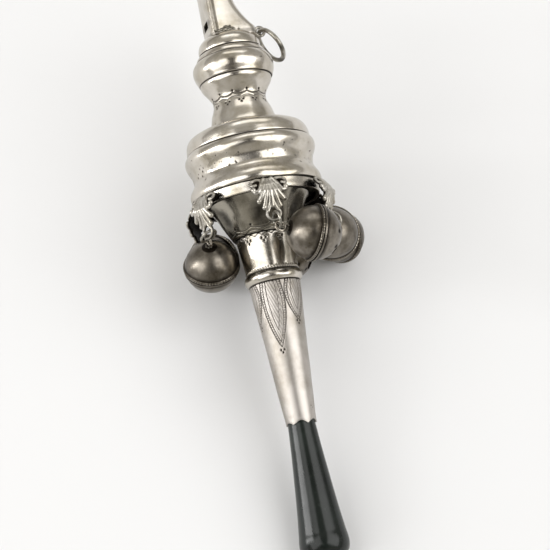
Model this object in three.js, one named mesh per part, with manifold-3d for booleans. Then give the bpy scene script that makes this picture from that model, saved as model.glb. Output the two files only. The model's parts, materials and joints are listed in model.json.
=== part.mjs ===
// Whistle-and-bells baby rattle with a stone teething handle, lying on its side.
// Millimetres, +Z up, the surface it lies on at z = 0, whistle end towards +Y.
// Inside `rattle` the pieces share one axis: z runs along it towards the whistle, 0 at the drum's lip.
import * as THREE from 'three';
import { mergeVertices } from 'three/addons/utils/BufferGeometryUtils.js';
import Module from 'manifold-3d';

const wasm = await Module();
wasm.setup();

// ---- driving dimensions ----
const gap = 0.3; // clearance between separate pieces
const wall = 0.7; // sheet silver
const roundSides = 24;
const smallSides = 12;

const axisSlope = 12.5; // degrees, handle end lower than the whistle end
const bezelRadius = 13.1;
const bezelWidth = 0.9;
const bezelDepth = 2.1;
const floorTop = -0.5;
const floorBottom = -1.3;
const floorInner = 7;
const seamRadius = 7.9; // whistle cap where it meets the bulb below it
const capTop = 35.6;
const capSeam = 25.3;
const bulbSeam = 20.7;
const flareSeam = 14.5;
const drumSeam = 10.2;
const coneEnd = -9.3;
const collarEnd = -17.2;
const beadEnd = -19.7;
const ferruleEnd = -49.5;
const handleEnd = -78.5;
const tangRadius = 1.85; // end of the stone inside the ferrule
const tangTop = -39.6;
const cementTop = -40.5;

const mouthpieceBase = 36.2;
const mouthpieceTip = 52;
const mouthpieceHalfWidth = 4.4;
const windowFace = 4.3; // flat window side, from the axis
const windowTurn = -169; // degrees round the axis
const slopeStart = 43.8; // below this the beak's slope sweeps out to its foot
const windway = 1;
const windowBottom = 37.2;
const windowTop = 39.4;
const windowHalfWidth = 2.4;

const bellCount = 6;
const firstBracketTurn = -144.5; // degrees round the axis
const bracketThickness = 0.7;
const bracketBulge = 0.25; // middle of a leaf, in front of its edges
const holeRadius = 1.05;
const holeDrop = 8; // hanging hole below the lip
const holeReach = 14.75; // hanging hole from the axis
const ringRadius = 1.7; // jump ring, to the middle of its wire
const ringWire = 0.3;
const loopRadius = 1.1; // bell loop, to the middle of its wire
const loopWire = 0.3;
const footRadius = 0.7; // solder under the bell loop
const footHeight = 0.25;
const bellRadius = 5.75;
const bellWall = 0.5;
const flangeRadius = 6.1;
const flangeHalf = 0.35;
const bellDrop = 7.4; // loop centre to bell centre
const slotWidth = 1.4;
const slotHoleRadius = 1.1;
const slotReach = 3.6; // slot's end holes from the bell's middle
const peaRadius = 1.4;
const peaGap = 0.45;

const eyeRadius = 1;
const eyeWire = 0.35;
const hangRadius = 3.8; // suspension ring, to the middle of its wire
const hangWire = 0.5;

// How each bell lies, in degrees from hanging straight towards the handle.
// ring/bell: [outwards, sideways]; turn: how far the ring's plane is twisted round its own hang.
const bellPoses = [
  { ring: [-31, -68], bell: [-28, -50], turn: 17 },
  { ring: [21, 11], bell: [-14, 74], turn: 11 },
  { ring: [11, 10], bell: [-27, 96], turn: 11 },
  { ring: [-5, 0], bell: [69, 154], turn: -48 },
  { ring: [25, -3], bell: [-39, -88], turn: -4 },
  { ring: [22, -3], bell: [-4, -101], turn: 15 },
];

// ---- materials ----
function finish(color, roughness, metalness) {
  return new THREE.MeshStandardMaterial({ color, roughness, metalness });
}

const silver = finish(0xb5b2a6, 0.28, 1);
const darkSilver = finish(0x5d5a50, 0.42, 1);
const bellSilver = finish(0x77726a, 0.34, 1);
const stone = finish(0x2a3a31, 0.22, 0);
const cement = finish(0x6b6252, 0.85, 0);

// ---- helpers ----
const radians = THREE.MathUtils.degToRad;

function welded(geometry) {
  const bare = geometry.clone();
  bare.deleteAttribute('normal');
  bare.deleteAttribute('uv');
  return mergeVertices(bare, 1e-4);
}

function toSolid(geometry) {
  const bare = welded(geometry);
  const vertProperties = new Float32Array(bare.attributes.position.array);
  const triVerts = new Uint32Array(bare.index.array);
  return new wasm.Manifold(new wasm.Mesh({ numProp: 3, vertProperties, triVerts }));
}

function toGeometry(solid) {
  const mesh = solid.getMesh();
  const geometry = new THREE.BufferGeometry();
  geometry.setAttribute('position', new THREE.BufferAttribute(new Float32Array(mesh.vertProperties), 3));
  geometry.setIndex(new THREE.BufferAttribute(new Uint32Array(mesh.triVerts), 1));
  geometry.computeVertexNormals();
  return geometry;
}

function cut(geometry, ...tools) {
  const solid = tools.reduce((left, tool) => left.subtract(toSolid(tool)), toSolid(geometry));
  return toGeometry(solid);
}

function joined(geometry, ...others) {
  const solid = others.reduce((left, other) => left.add(toSolid(other)), toSolid(geometry));
  return toGeometry(solid);
}

// A turned solid from [radius, z] points given upwards along its outside.
function turned(points, sides = roundSides) {
  const profile = points.map(([radius, z]) => new THREE.Vector2(radius, z));
  return new THREE.LatheGeometry(profile, sides).rotateX(Math.PI / 2);
}

// A turned shell of even thickness under an outside profile given upwards.
function turnedShell(outside, thickness = wall, sides = roundSides) {
  const inside = outside.map(([radius, z], i) => {
    const before = outside[Math.max(i - 1, 0)];
    const after = outside[Math.min(i + 1, outside.length - 1)];
    const along = new THREE.Vector2(after[0] - before[0], after[1] - before[1]).normalize();
    return [radius - along.y * thickness, z + along.x * thickness];
  });
  const last = outside.length - 1;
  inside[0][1] = outside[0][1];
  inside[last][1] = outside[last][1];
  return turned([...outside, ...inside.reverse(), outside[0]], sides);
}

function arc(radius, z, size, fromDegrees, toDegrees, steps) {
  return Array.from({ length: steps + 1 }, (_, i) => {
    const angle = radians(THREE.MathUtils.lerp(fromDegrees, toDegrees, i / steps));
    return [radius + size * Math.cos(angle), z + size * Math.sin(angle)];
  });
}

// A closed skin over rings of points, one ring above another, all with the same number of points.
function lofted(rings) {
  const count = rings[0].length;
  const positions = rings.flat().flatMap((point) => [point.x, point.y, point.z]);
  const index = [];
  for (let row = 0; row < rings.length - 1; row += 1) {
    for (let i = 0; i < count; i += 1) {
      const here = row * count + i;
      const next = row * count + ((i + 1) % count);
      index.push(here, next, next + count, here, next + count, here + count);
    }
  }
  const top = (rings.length - 1) * count;
  for (let i = 1; i < count - 1; i += 1) {
    index.push(0, i + 1, i);
    index.push(top, top + i, top + i + 1);
  }
  const geometry = new THREE.BufferGeometry();
  geometry.setAttribute('position', new THREE.Float32BufferAttribute(positions, 3));
  geometry.setIndex(index);
  geometry.computeVertexNormals();
  return geometry;
}

function block(x0, x1, y0, y1, z0, z1) {
  const geometry = new THREE.BoxGeometry(x1 - x0, y1 - y0, z1 - z0);
  return geometry.translate((x0 + x1) / 2, (y0 + y1) / 2, (z0 + z1) / 2);
}

function addPiece(parent, name, geometry, material) {
  const mesh = new THREE.Mesh(geometry, material);
  mesh.name = name;
  parent.add(mesh);
  return mesh;
}

// ---- whistle ----
// Distance from the axis to the beak's sloping side, at a height.
function beakSlope(z) {
  const fallen = Math.max(slopeStart - z, 0);
  return 0.9 + 0.1 * (mouthpieceTip - z) + 0.056 * fallen ** 2;
}

function beakSection(z, inset) {
  const left = windowFace - inset;
  const right = -beakSlope(z) + inset;
  const half = mouthpieceHalfWidth - inset;
  const round = Math.max(1.3 - inset, 0.3);
  const corners = [
    [left - round, half - round, 0],
    [right + round, half - round, 90],
    [right + round, -half + round, 180],
    [left - round, -half + round, 270],
  ];
  return corners.flatMap(([x, y, start]) => [0, 45, 90].map((step) => {
    const angle = radians(start + step);
    return new THREE.Vector3(x + round * Math.cos(angle), y + round * Math.sin(angle), z);
  }));
}

function beak(inset, bottom, top) {
  const stations = [bottom, 38, 40, 42, 44, top].filter((z, i, all) => i === 0 || z > all[0] + 0.5);
  return lofted(stations.map((z) => beakSection(z, inset)));
}

function mouthpiece() {
  const hollow = beak(wall, mouthpieceBase - 1, mouthpieceTip + 1);
  const depth = [windowFace - 2 * wall, windowFace + 1];
  const window = block(...depth, -windowHalfWidth, windowHalfWidth, windowBottom, windowTop);
  return cut(beak(0, mouthpieceBase, mouthpieceTip), hollow, window).rotateZ(radians(windowTurn));
}

function whistleBlock() {
  const innerFace = windowFace - wall - windway;
  const room = block(innerFace, windowFace, -6, 6, 30, 60);
  return cut(beak(wall + gap, windowTop + 0.2, mouthpieceTip - 0.8), room).rotateZ(radians(windowTurn));
}

function whistleCap() {
  const dome = [[5.2, capTop], ...arc(5.4, 34, 1.25, 60, -20, 3)].reverse();
  const outside = [
    [seamRadius, capSeam + 0.15],
    [8.25, 26.6],
    [8.6, 28.1],
    [8.4, 29.3],
    [7.6, 30.3],
    [7.1, 31.2],
    [6.75, 31.8],
    ...dome,
  ];
  return turnedShell(outside);
}

function suspensionEye() {
  return new THREE.TorusGeometry(eyeRadius, eyeWire, 8, 16);
}

function suspensionRing() {
  const ring = new THREE.TorusGeometry(hangRadius, hangWire, 8, 24);
  return ring.rotateX(Math.PI / 2).translate(0, 0, -hangRadius);
}

// ---- knop and drum ----
function upperBulb() {
  return turnedShell([[5.75, bulbSeam + 0.15], [6, 22], [6.6, 23], [7.35, 24], [7.75, capSeam - 0.15]]);
}

function flaredNeck() {
  const outside = [[7.35, flareSeam + 0.15], [6.95, 16.2], [6.5, 18], [5.95, 19.6], [5.7, bulbSeam - 0.15]];
  return turnedShell(outside);
}

function drumShoulder() {
  const round = arc(11, 12, 2.1, 0, 68, 4);
  return turnedShell([[13.15, drumSeam + 0.15], [13.15, 11.2], ...round, [7.6, flareSeam - 0.15]]);
}

function drumBody() {
  const torus = arc(12.15, 8.4, 1.8, -50, 58, 5);
  const outside = [
    [13.9, 0],
    [14.05, 1.2],
    [13.3, 3],
    [12.7, 4.5],
    [12.85, 5.6],
    ...torus,
    [13.05, drumSeam - 0.15],
  ];
  return turnedShell(outside, wall + 0.1);
}

function bezel() {
  const inner = bezelRadius - bezelWidth;
  const top = -gap;
  return turned([
    [bezelRadius - 0.15, -bezelDepth],
    [bezelRadius, -bezelDepth / 2],
    [bezelRadius - 0.05, top],
    [inner, top],
    [inner, -bezelDepth],
    [bezelRadius - 0.15, -bezelDepth],
  ]);
}

function drumFloor() {
  const rim = bezelRadius - bezelWidth - gap;
  const start = [floorInner, floorBottom];
  return turned([start, [rim, floorBottom], [rim, floorTop], [floorInner, floorTop], start]);
}

// ---- stem ----
function neckCone() {
  return turnedShell([[7.1, coneEnd + 0.15], [7.7, -7.6], [8.6, -5.5], [9.6, -3.4], [10.8, -1.6]]);
}

function collar() {
  return turnedShell([[5.5, collarEnd + 0.15], [5.75, -14.5], [6.2, -10.2], [6.25, coneEnd - 0.15]]);
}

function beadRing() {
  const middle = (collarEnd + beadEnd) / 2;
  const bead = arc(5.1, middle, 1.05, -90, 90, 6);
  return turned([...bead, [4.2, middle + 1.05], [4.2, middle - 1.05], bead[0]]);
}

function ferrule() {
  return turnedShell([[3.1, ferruleEnd], [3.55, -44], [4.15, -36], [4.9, -26], [5.5, beadEnd - 0.15]], 0.6);
}

function cementSleeve() {
  const inner = tangRadius + 0.35;
  const bottom = ferruleEnd + 1.5;
  const start = [inner, bottom];
  return turned([start, [2.35, bottom], [2.9, cementTop], [inner, cementTop], start], 16);
}

function handle() {
  const widest = 5.15;
  const end = [[0, handleEnd], [2.3, handleEnd + 0.45], [4.1, -76.9], [widest, -74.6]];
  const grip = [[4.85, -72], [4, -64], [3.3, -56], [2.9, ferruleEnd - gap]];
  return turned([...end, ...grip, [tangRadius, ferruleEnd - gap], [tangRadius, tangTop], [0, tangTop]]);
}

// ---- brackets, jump rings and bells ----
// Leaf outline: [drop below the lip, distance from the axis to the leaf's outside, half width].
const leafStations = [
  [0.2, 14.5, 2.6],
  [1.2, 15.1, 3.9],
  [2.2, 15.8, 3.1],
  [3.4, 16.1, 2.3],
  [4.4, 15.9, 3.1],
  [5.3, 15.6, 2.2],
  [6.2, 15.3, 2.3],
  [7, 15.1, 1.5],
  [8, 15.1, 1.5],
  [8.9, 15.1, 1.35],
  [9.6, 15.1, 0.6],
];

// A leaf in its own frame: x outwards from the axis, y sideways.
function bracket() {
  const rings = leafStations.map(([drop, reach, half]) => {
    const inner = Math.max(reach - bracketThickness, bezelRadius + gap);
    const edge = reach - bracketBulge;
    const corners = [[inner, -half], [edge, -half], [reach, 0], [edge, half], [inner, half]];
    return corners.map(([x, y]) => new THREE.Vector3(x, y, -drop));
  });
  const hole = new THREE.CylinderGeometry(holeRadius, holeRadius, 6, smallSides);
  hole.rotateZ(Math.PI / 2).translate(holeReach, 0, -holeDrop);
  return cut(lofted(rings.reverse()), hole);
}

function jumpRing() {
  const ring = new THREE.TorusGeometry(ringRadius, ringWire, 5, 14);
  return ring.rotateX(Math.PI / 2).translate(0, 0, -ringRadius);
}

function bellDome() {
  const start = flangeHalf + gap / 2 - 0.05;
  const low = THREE.MathUtils.radToDeg(Math.asin((start + flangeHalf) / bellRadius));
  const outside = arc(0, 0, bellRadius, low, 78, 4);
  const inside = arc(0, 0, bellRadius - bellWall, low, 72, 2).reverse();
  const inner = bellRadius - bellWall;
  const rim = [[inner, start - 0.2], [flangeRadius, start - 0.2], [flangeRadius, start + 0.3]];
  const crown = [[0, bellRadius], [0, bellRadius - bellWall]];
  const dome = turned([...rim, ...outside, ...crown, ...inside, rim[0]], smallSides);
  return dome.translate(0, 0, -bellDrop);
}

// The wire loop that the bell hangs by, with the solder that holds it on the dome.
function bellLoop() {
  const loop = new THREE.TorusGeometry(loopRadius, loopWire, 5, 12).rotateY(Math.PI / 2);
  const foot = new THREE.CylinderGeometry(footRadius, footRadius, footHeight, 10).rotateX(Math.PI / 2);
  return joined(loop, foot.translate(0, 0, gap - bellDrop + bellRadius + footHeight / 2 - 0.1));
}

function bellBowl() {
  const top = -0.15;
  const high = THREE.MathUtils.radToDeg(Math.asin(2 * flangeHalf / bellRadius));
  const outside = arc(0, 0, bellRadius, -90, -high, 4);
  const inside = arc(0, 0, bellRadius - bellWall, -high, -90, 3);
  const rim = [[flangeRadius, -0.6], [flangeRadius, top], [bellRadius - bellWall, top]];
  const bowl = turned([...outside, ...rim, ...inside], smallSides);
  const slot = block(-slotWidth / 2, slotWidth / 2, -slotReach, slotReach, -bellRadius - 1, -3);
  const ends = [-slotReach, slotReach].map((y) => {
    const end = new THREE.CylinderGeometry(slotHoleRadius, slotHoleRadius, 5, 10);
    return end.rotateX(Math.PI / 2).translate(0, y, -4.9);
  });
  return cut(bowl, slot, ...ends).translate(0, 0, -bellDrop);
}

// Direction from [outwards, sideways] degrees, in a bracket's frame.
function hangDirection([outwards, sideways]) {
  const out = radians(outwards);
  const side = radians(sideways);
  return new THREE.Vector3(Math.sin(out), Math.cos(out) * Math.sin(side), -Math.cos(out) * Math.cos(side));
}

// Turns an object so that its -z hangs along `hang` and its x lies as near as it can to `across`.
function aim(object, hang, across) {
  const z = hang.clone().negate();
  const x = across.clone().addScaledVector(z, -across.dot(z)).normalize();
  const y = z.clone().cross(x);
  object.quaternion.setFromRotationMatrix(new THREE.Matrix4().makeBasis(x, y, z));
}

function addBell(rattle, i) {
  const pose = bellPoses[i];
  const label = i + 1;
  const spoke = new THREE.Group();
  spoke.rotation.z = radians(firstBracketTurn + i * 360 / bellCount);
  rattle.add(spoke);
  addPiece(spoke, `bracket_${label}`, bracket(), silver);

  const ringHang = hangDirection(pose.ring);
  const bellHang = hangDirection(pose.bell);
  const turn = radians(pose.turn);
  const across = new THREE.Vector3(Math.cos(turn), Math.sin(turn), 0);
  const ring = addPiece(spoke, `jump_ring_${label}`, jumpRing(), darkSilver);
  ring.position.set(holeReach, 0, -holeDrop);
  aim(ring, ringHang, across);

  const ringAcross = new THREE.Vector3(1, 0, 0).applyQuaternion(ring.quaternion);
  const bell = new THREE.Group();
  bell.position.copy(ring.position).addScaledVector(ringHang, 2 * ringRadius);
  aim(bell, bellHang, ringAcross);
  spoke.add(bell);
  addPiece(bell, `bell_${label}_loop`, bellLoop(), bellSilver);
  addPiece(bell, `bell_${label}_dome`, bellDome(), bellSilver);
  addPiece(bell, `bell_${label}_bowl`, bellBowl(), bellSilver);

  const pea = addPiece(rattle, `bell_${label}_pea`, new THREE.SphereGeometry(peaRadius, 8, 6), darkSilver);
  const centre = bellHang.clone().multiplyScalar(bellDrop).add(bell.position);
  const down = new THREE.Vector3(0, Math.cos(radians(axisSlope)), -Math.sin(radians(axisSlope)));
  pea.position.copy(centre.applyAxisAngle(new THREE.Vector3(0, 0, 1), spoke.rotation.z));
  pea.position.addScaledVector(down, bellRadius - bellWall - peaRadius - peaGap);
}

// ---- assembly ----
const rattle = new THREE.Group();
addPiece(rattle, 'whistle_mouthpiece', mouthpiece(), silver);
addPiece(rattle, 'whistle_block', whistleBlock(), darkSilver);
addPiece(rattle, 'whistle_cap', whistleCap(), silver);
addPiece(rattle, 'upper_bulb', upperBulb(), silver);
addPiece(rattle, 'flared_neck', flaredNeck(), silver);
addPiece(rattle, 'drum_shoulder', drumShoulder(), silver);
addPiece(rattle, 'drum_body', drumBody(), silver);
addPiece(rattle, 'drum_bezel', bezel(), silver);
addPiece(rattle, 'drum_floor', drumFloor(), darkSilver);
addPiece(rattle, 'neck_cone', neckCone(), darkSilver);
addPiece(rattle, 'stem_collar', collar(), silver);
addPiece(rattle, 'stem_bead', beadRing(), silver);
addPiece(rattle, 'handle_ferrule', ferrule(), silver);
addPiece(rattle, 'handle_cement', cementSleeve(), cement);
addPiece(rattle, 'stone_handle', handle(), stone);

const eye = addPiece(rattle, 'suspension_eye', suspensionEye(), silver);
const hanger = addPiece(rattle, 'suspension_ring', suspensionRing(), silver);
const eyePlace = new THREE.Vector3(7.2, 1.3, 36);
const eyeAxis = new THREE.Vector3(0.24, -0.97, 0.06).normalize();
const hangerDirection = new THREE.Vector3(0.5, 0.1, -0.86).normalize();
eye.position.copy(eyePlace);
eye.quaternion.setFromUnitVectors(new THREE.Vector3(0, 0, 1), eyeAxis);
hanger.position.copy(eyePlace);
aim(hanger, hangerDirection, eyeAxis);

for (let i = 0; i < bellCount; i += 1) {
  addBell(rattle, i);
}

// Lay the rattle down: its axis in the Y-Z plane, its lowest point at z = 0, its box centred on the origin.
rattle.rotation.x = -Math.PI / 2 + radians(axisSlope);
const toy = new THREE.Group();
toy.add(rattle);
toy.updateMatrixWorld(true);
const extent = new THREE.Box3().setFromObject(toy, true);
const middle = extent.getCenter(new THREE.Vector3());
rattle.position.set(-middle.x, -middle.y, -extent.min.z);

export default toy;
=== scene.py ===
import json
import math

import bmesh
import bpy
import numpy as np
from mathutils import Matrix, Vector, noise

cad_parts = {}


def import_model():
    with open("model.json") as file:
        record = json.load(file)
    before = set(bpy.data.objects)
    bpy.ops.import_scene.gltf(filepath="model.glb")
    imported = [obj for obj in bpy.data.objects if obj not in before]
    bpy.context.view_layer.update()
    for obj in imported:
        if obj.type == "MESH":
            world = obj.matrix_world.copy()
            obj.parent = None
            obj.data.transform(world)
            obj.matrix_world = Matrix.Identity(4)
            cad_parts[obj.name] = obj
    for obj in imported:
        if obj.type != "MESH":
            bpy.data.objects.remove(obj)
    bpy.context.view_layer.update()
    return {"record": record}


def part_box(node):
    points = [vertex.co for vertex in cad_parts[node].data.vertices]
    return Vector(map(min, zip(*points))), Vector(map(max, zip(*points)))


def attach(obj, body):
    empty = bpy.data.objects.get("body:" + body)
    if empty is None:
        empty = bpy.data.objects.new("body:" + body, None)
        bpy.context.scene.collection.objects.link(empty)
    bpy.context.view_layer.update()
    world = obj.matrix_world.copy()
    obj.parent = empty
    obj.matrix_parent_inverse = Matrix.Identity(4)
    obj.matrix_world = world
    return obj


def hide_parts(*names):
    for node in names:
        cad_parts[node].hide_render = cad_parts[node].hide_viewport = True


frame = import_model()

# ---- driving dimensions ----
# Millimetres, in the rattle's own frame: z runs along its axis towards the whistle and is 0 at the drum's lip.
MM = 0.001
AXIS_SLOPE = 12.5
EYE_PLACE = (7.2, 1.3, 36.0)
WINDOW_TURN = -169
FIRST_BRACKET_TURN = -144.5
HOLE_REACH = 14.75
HOLE_DROP = 8.0
RING_RADIUS = 1.7
RING_WIRE = 0.3
LOOP_RADIUS = 1.1
LOOP_WIRE = 0.3
BELL_RADIUS = 5.7
FLANGE_RADIUS = 5.98
BELL_EASE = 0.987
BELL_DROP = 7.4
HANG_RADIUS = 3.8
HANG_WIRE = 0.5
BELL_POSES = [
    {"ring": (-31, -68), "bell": (-28, -50), "turn": 17},
    {"ring": (21, 11), "bell": (-14, 74), "turn": 11},
    {"ring": (11, 10), "bell": (-27, 96), "turn": 11},
    {"ring": (-5, 0), "bell": (69, 154), "turn": -48},
    {"ring": (25, -3), "bell": (-39, -88), "turn": -4},
    {"ring": (22, -3), "bell": (-4, -101), "turn": 15},
]
LEAF_BACK = 0.27  # how far a leaf may stand behind its own sheet
LEAF_VOXEL = 0.085
SOLDER_VOXEL = 0.07
SLOT_HALF_WIDTH = 0.7
SLOT_REACH = 3.6
SLOT_END_RADIUS = 1.25
PEA_RADIUS = 1.38
SHARP_EDGE = 32  # degrees
BODY = "rattle"

joints = {joint["name"]: joint for joint in frame["record"]["behaviour"]["joints"]}
lie = Matrix.Rotation(math.radians(AXIS_SLOPE - 90), 4, "X")
hanger_place = Vector(joints["suspension_ring_swing"]["pos_m"])
PLACE = Matrix.Translation(hanger_place - lie @ (Vector(EYE_PLACE) * MM)) @ lie


# ---- mesh helpers ----
def mesh_piece(name, points, faces, tone=None):
    mesh = bpy.data.meshes.new(name)
    mesh.from_pydata((np.asarray(points, float) * MM).tolist(), [], faces)
    mesh.update()
    bm = bmesh.new()
    bm.from_mesh(mesh)
    bmesh.ops.recalc_face_normals(bm, faces=bm.faces)
    bm.to_mesh(mesh)
    bm.free()
    mesh.polygons.foreach_set("use_smooth", [True] * len(mesh.polygons))
    mesh.set_sharp_from_angle(angle=math.radians(SHARP_EDGE))
    if tone is not None:
        layer = mesh.attributes.new("tone", "FLOAT", "POINT")
        layer.data.foreach_set("value", np.clip(np.asarray(tone, float), 0, 1))
    piece = bpy.data.objects.new(name, mesh)
    bpy.context.scene.collection.objects.link(piece)
    return piece


def settle(piece, material, body=BODY, place=PLACE, stands_for=()):
    piece.data.materials.clear()
    piece.data.materials.append(material)
    piece.matrix_world = place
    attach(piece, body)
    if stands_for:
        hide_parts(*stands_for)
    return piece


def grid_faces(rows, columns, loop_rows=False):
    faces = []
    for row in range(rows if loop_rows else rows - 1):
        above = (row + 1) % rows
        for i in range(columns):
            j = (i + 1) % columns
            faces.append((row * columns + i, row * columns + j, above * columns + j, above * columns + i))
    return faces


def smooth_run(points, step):
    """Catmull-Rom points through a run of [radius, z] points, about step apart."""
    points = np.asarray(points, float)
    if len(points) < 3:
        count = max(int(np.linalg.norm(points[-1] - points[0]) / step), 1)
        return [points[0] + (points[-1] - points[0]) * i / count for i in range(count + 1)]
    padded = np.vstack([2 * points[0] - points[1], points, 2 * points[-1] - points[-2]])
    out = []
    for i in range(1, len(padded) - 2):
        a, b, c, d = padded[i - 1 : i + 3]
        count = max(int(np.linalg.norm(c - b) / step), 2)
        for k in range(count):
            t = k / count
            out.append(
                0.5
                * (2 * b + (c - a) * t + (2 * a - 5 * b + 4 * c - d) * t**2 + (3 * b - a - 3 * c + d) * t**3)
            )
    out.append(points[-1])
    return out


def profile(*runs, step=0.18):
    out = []
    for run in runs:
        part = smooth_run(run, step)
        if out and np.allclose(out[-1], part[0], atol=1e-4):
            part = part[1:]
        out.extend(part)
    return np.array(out)


def recess(points, reach=0.9):
    """How far each profile point lies below its neighbours' average, in millimetres."""
    radius, z = points[:, 0], points[:, 1]
    out = np.zeros(len(points))
    for i in range(len(points)):
        near = np.abs(z - z[i]) < reach
        out[i] = radius[near].mean() - radius[i]
    return out


def turned(
    name, outside, columns=160, wall=0.6, relief=None, dents=0.03, seed=0.0, ends=(True, True), bright=1.0
):
    """A turned shell with gentle dents. relief(angle, z, radius) returns (height, tone) arrays."""
    count = len(outside)
    angle = np.arange(columns) * 2 * math.pi / columns
    radius = np.repeat(outside[:, 0][:, None], columns, 1)
    z = np.repeat(outside[:, 1][:, None], columns, 1)
    theta = np.repeat(angle[None, :], count, 0)
    hollow = np.clip(recess(outside) * 2.2, 0, 0.75)
    tone = bright - np.repeat(hollow[:, None], columns, 1)
    along = np.append(0, np.cumsum(np.hypot(*np.diff(outside, axis=0).T)))
    for at_end, row in zip(ends, (0, count - 1)):
        if at_end:
            tone -= 0.75 * np.exp(-(((along - along[row]) / 0.18) ** 2))[:, None]
    wobble = np.zeros_like(radius)
    if dents:
        for row in range(count):
            zr = outside[row, 1] * 0.22
            for i in range(0, columns, 4):
                p = Vector((
                    math.cos(angle[i]) * outside[row, 0] * 0.22,
                    math.sin(angle[i]) * outside[row, 0] * 0.22, zr + seed
                ))
                wobble[row, i] = noise.noise(p)
        steps = np.arange(columns)
        for row in range(count):
            wobble[row] = np.interp(
                steps, np.append(steps[::4], columns), np.append(wobble[row, ::4], wobble[row, 0])
            )
    shift = dents * wobble
    if relief:
        height, shade = relief(theta, z, radius)
        shift = shift + height
        tone = tone - shade
    radius = radius + shift
    shell = np.stack([radius * np.cos(theta), radius * np.sin(theta), z], -1)
    inner = outside[:: max(count // 14, 1)][::-1].copy()
    inner[:, 0] = np.maximum(inner[:, 0] - wall, 0.05)
    inner_shell = np.stack(
        [
            inner[:, 0][:, None] * np.cos(angle), inner[:, 0][:, None] * np.sin(angle),
            np.repeat(inner[:, 1][:, None], columns, 1)
        ],
        -1,
    )
    points = np.concatenate([shell, inner_shell]).reshape(-1, 3)
    tones = np.concatenate([tone.ravel(), np.full(inner_shell.shape[0] * columns, 0.15)])
    rows = count + len(inner)
    return mesh_piece(name, points, grid_faces(rows, columns, loop_rows=True), tones)


def solid_turned(name, outside, columns=128):
    """A turned solid whose profile starts and ends close to the axis."""
    count = len(outside)
    angle = np.arange(columns) * 2 * math.pi / columns
    ring = np.stack([np.cos(angle), np.sin(angle)], -1)
    points = np.concatenate([
        np.column_stack([ring * max(r, 0.004), np.full(columns, z)]) for r, z in outside
    ])
    faces = grid_faces(count, columns)
    faces.append(tuple(range(columns))[::-1])
    faces.append(tuple((count - 1) * columns + i for i in range(columns)))
    return mesh_piece(name, points, faces)


def swept(path, radii, sides=10, up=Vector((0, 0, 1)), squash=1.0):
    """Points and faces of a tube along a path, with round ends and its own radius at each point."""
    path = [Vector(p) for p in path]
    points, count = [], len(path)
    rows = []
    for i, centre in enumerate(path):
        ahead = (path[min(i + 1, count - 1)] - path[max(i - 1, 0)]).normalized()
        side = ahead.cross(up).normalized()
        top = side.cross(ahead).normalized()
        rows.append((centre, side, top, ahead, radii[i]))
    first, last = rows[0], rows[-1]
    caps = [math.radians(d) for d in (80, 55, 30)]
    full = [(
        first[0] - first[3] * first[4] * math.sin(c), *first[1:4], first[4] * math.cos(c)
    ) for c in caps]
    full += rows
    full += [(
        last[0] + last[3] * last[4] * math.sin(c), *last[1:4], last[4] * math.cos(c)
    ) for c in caps[::-1]]
    for centre, side, top, _, radius in full:
        for k in range(sides):
            a = 2 * math.pi * k / sides
            points.append(centre + side * (radius * math.cos(a)) + top * (radius * squash * math.sin(a)))
    faces = grid_faces(len(full), sides)
    faces.append(tuple(range(sides))[::-1])
    faces.append(tuple((len(full) - 1) * sides + k for k in range(sides)))
    return points, faces


def joined_parts(parts):
    points, faces = [], []
    for part_points, part_faces in parts:
        offset = len(points)
        points.extend(tuple(p) for p in part_points)
        faces.extend(tuple(v + offset for v in face) for face in part_faces)
    return points, faces


def ring_mesh(radius, wire, around=72, sides=16, centre=(0, 0, 0), uneven=0.0):
    """A ring of wire in the x-z plane."""
    points = []
    for i in range(around):
        a = 2 * math.pi * i / around
        w = wire * (1 + uneven * noise.noise(Vector((math.cos(a) * 2, math.sin(a) * 2, 4.2))))
        for k in range(sides):
            b = 2 * math.pi * k / sides
            r = radius + w * math.cos(b)
            points.append((
                centre[0] + r * math.cos(a), centre[1] + w * math.sin(b), centre[2] + r * math.sin(a)
            ))
    return points, grid_faces(around, sides, loop_rows=True)


def ball(centre, radius, rings=8, sides=14):
    points = []
    for row in range(rings + 1):
        polar = math.pi * (row + 0.02) / (rings + 0.04)
        for k in range(sides):
            a = 2 * math.pi * k / sides
            points.append(
                (
                    centre[0] + radius * math.sin(polar) * math.cos(a),
                    centre[1] + radius * math.sin(polar) * math.sin(a),
                    centre[2] + radius * math.cos(polar),
                )
            )
    faces = grid_faces(rings + 1, sides)
    faces.append(tuple(range(sides))[::-1])
    faces.append(tuple(rings * sides + k for k in range(sides)))
    return points, faces


# ---- materials ----
def node_material(name):
    material = bpy.data.materials.new(name)
    material.use_nodes = True
    nodes = material.node_tree.nodes
    return material, nodes, material.node_tree.links, nodes["Principled BSDF"]


def noise_node(nodes, links, coordinates, scale, detail=4.0, rough=0.5):
    texture = nodes.new("ShaderNodeTexNoise")
    texture.inputs["Scale"].default_value = scale
    texture.inputs["Detail"].default_value = detail
    texture.inputs["Roughness"].default_value = rough
    links.new(coordinates, texture.inputs["Vector"])
    return texture.outputs["Fac"]


def ramp(nodes, links, source, stops):
    node = nodes.new("ShaderNodeValToRGB")
    elements = node.color_ramp.elements
    while len(elements) < len(stops):
        elements.new(0.5)
    for element, (position, colour) in zip(elements, stops):
        element.position = position
        element.color = (*colour, 1) if isinstance(colour, tuple) else (colour, colour, colour, 1)
    links.new(source, node.inputs["Fac"])
    return node.outputs["Color"]


def maths(nodes, links, operation, a, b):
    node = nodes.new("ShaderNodeMath")
    node.operation = operation
    node.use_clamp = operation in ("MULTIPLY", "SUBTRACT")
    for socket, value in zip(node.inputs, (a, b)):
        if isinstance(value, (int, float)):
            socket.default_value = value
        else:
            links.new(value, socket)
    return node.outputs["Value"]


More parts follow.
